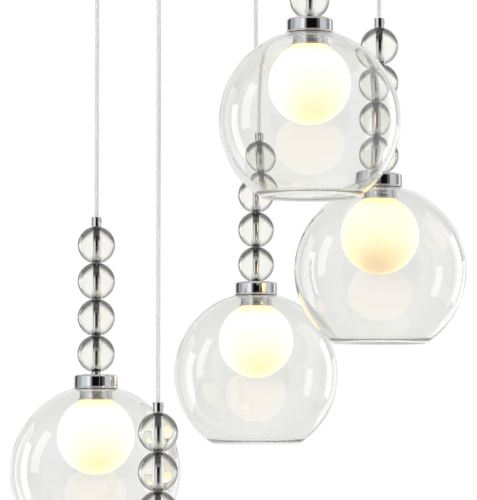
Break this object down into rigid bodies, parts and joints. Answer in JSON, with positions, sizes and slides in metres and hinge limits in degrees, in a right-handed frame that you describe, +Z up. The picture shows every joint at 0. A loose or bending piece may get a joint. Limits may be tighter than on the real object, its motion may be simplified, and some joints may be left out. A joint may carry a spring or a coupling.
{
  "type": "chandelier",
  "caption": "Cluster chandelier: clear glass globes with opal balls inside and crystal balls above, hung at staggered heights on thin cords from a round chrome canopy.",
  "frame": {"origin": "middle of the canopy's mounting plane on the ceiling, centred between the two ceiling screws", "axes": "+Z up into the ceiling, the chandelier hangs to -Z; +Y away from the picture's camera; +X to its right"},
  "size_m": [0.5325, 0.5317, 1.1723],
  "materials": {
    "canopy_chrome": "polished plate, spun",
    "chrome": "polished plate",
    "stem_chrome": "polished tube",
    "zinc_steel": "zinc plated",
    "brass": "turned",
    "block_plastic": "moulded",
    "lead_sleeve": "woven glass sleeve",
    "cord": "clear jacket over a pale core",
    "crystal": "polished lead crystal",
    "clear_glass": "blown, polished mouth",
    "opal_glass": "blown opal, satin sheen",
    "ceramic": "glazed",
    "lamp": "frosted capsule"
  },
  "bodies": {
    "canopy": {"canopy_pan": "canopy_chrome", "ceiling_bar": "zinc_steel", "canopy_studs": "zinc_steel", "dome_nuts": "chrome", "earth_screw": "brass", "terminal_block": "block_plastic", "cord_grips": "chrome", "grip_locknuts": "zinc_steel", "canopy_leads": "lead_sleeve"},
    "cord_a": {"cord_a": "cord"},
    "pendant_a": {"ferrule_a": "chrome", "stem_tube_a": "stem_chrome", "crystal_balls_a": "crystal", "cap_a": "chrome", "gallery_a": "chrome", "glass_globe_a": "clear_glass", "opal_ball_a": "opal_glass", "lampholder_a": "ceramic", "lamp_a": "lamp", "spacer_collar_a": "chrome"},
    "cord_b": {"cord_b": "cord"},
    "pendant_b": {"ferrule_b": "chrome", "stem_tube_b": "stem_chrome", "crystal_balls_b": "crystal", "cap_b": "chrome", "gallery_b": "chrome", "glass_globe_b": "clear_glass", "opal_ball_b": "opal_glass", "lampholder_b": "ceramic", "lamp_b": "lamp"},
    "cord_c": {"cord_c": "cord"},
    "pendant_c": {"ferrule_c": "chrome", "stem_tube_c": "stem_chrome", "crystal_balls_c": "crystal", "cap_c": "chrome", "gallery_c": "chrome", "glass_globe_c": "clear_glass", "opal_ball_c": "opal_glass", "lampholder_c": "ceramic", "lamp_c": "lamp"},
    "cord_d": {"cord_d": "cord"},
    "pendant_d": {"ferrule_d": "chrome", "stem_tube_d": "stem_chrome", "crystal_balls_d": "crystal", "cap_d": "chrome", "gallery_d": "chrome", "glass_globe_d": "clear_glass", "opal_ball_d": "opal_glass", "lampholder_d": "ceramic", "lamp_d": "lamp"},
    "cord_e": {"cord_e": "cord"},
    "pendant_e": {"ferrule_e": "chrome", "stem_tube_e": "stem_chrome", "crystal_balls_e": "crystal", "cap_e": "chrome", "gallery_e": "chrome", "glass_globe_e": "clear_glass", "opal_ball_e": "opal_glass", "lampholder_e": "ceramic", "lamp_e": "lamp"}
  },
  "joints": [
    {"name": "swing_a", "type": "hinge", "parent": "canopy", "child": "cord_a", "pos_m": [-0.1669, 0.05585, -0.058], "axis": [0.3173, 0.9483, 0], "range_deg": [-3, 20]},
    {"name": "rock_a", "type": "hinge", "parent": "cord_a", "child": "pendant_a", "pos_m": [-0.1669, 0.05585, -0.574], "axis": [-0.9483, 0.3173, 0], "range_deg": [-8, 8]},
    {"name": "swing_b", "type": "hinge", "parent": "canopy", "child": "cord_b", "pos_m": [-0.0872, -0.15288, -0.058], "axis": [-0.8686, 0.4955, 0], "range_deg": [-3, 20]},
    {"name": "rock_b", "type": "hinge", "parent": "cord_b", "child": "pendant_b", "pos_m": [-0.0872, -0.15288, -0.793], "axis": [-0.4955, -0.8686, 0], "range_deg": [-8, 8]},
    {"name": "swing_c", "type": "hinge", "parent": "canopy", "child": "cord_c", "pos_m": [0.02236, 0.17457, -0.058], "axis": [0.9919, -0.1271, 0], "range_deg": [-3, 20]},
    {"name": "rock_c", "type": "hinge", "parent": "cord_c", "child": "pendant_c", "pos_m": [0.02236, 0.17457, -0.462], "axis": [0.1271, 0.9919, 0], "range_deg": [-8, 8]},
    {"name": "swing_d", "type": "hinge", "parent": "canopy", "child": "cord_d", "pos_m": [0.07935, -0.1571, -0.058], "axis": [-0.8926, -0.4509, 0], "range_deg": [-3, 20]},
    {"name": "rock_d", "type": "hinge", "parent": "cord_d", "child": "pendant_d", "pos_m": [0.07935, -0.1571, -0.188], "axis": [0.4509, -0.8926, 0], "range_deg": [-8, 8]},
    {"name": "swing_e", "type": "hinge", "parent": "canopy", "child": "cord_e", "pos_m": [0.1656, 0.01158, -0.058], "axis": [0.0698, -0.9976, 0], "range_deg": [-3, 20]},
    {"name": "rock_e", "type": "hinge", "parent": "cord_e", "child": "pendant_e", "pos_m": [0.1656, 0.01158, -0.344], "axis": [0.9976, 0.0698, 0], "range_deg": [-8, 8]}
  ]
}
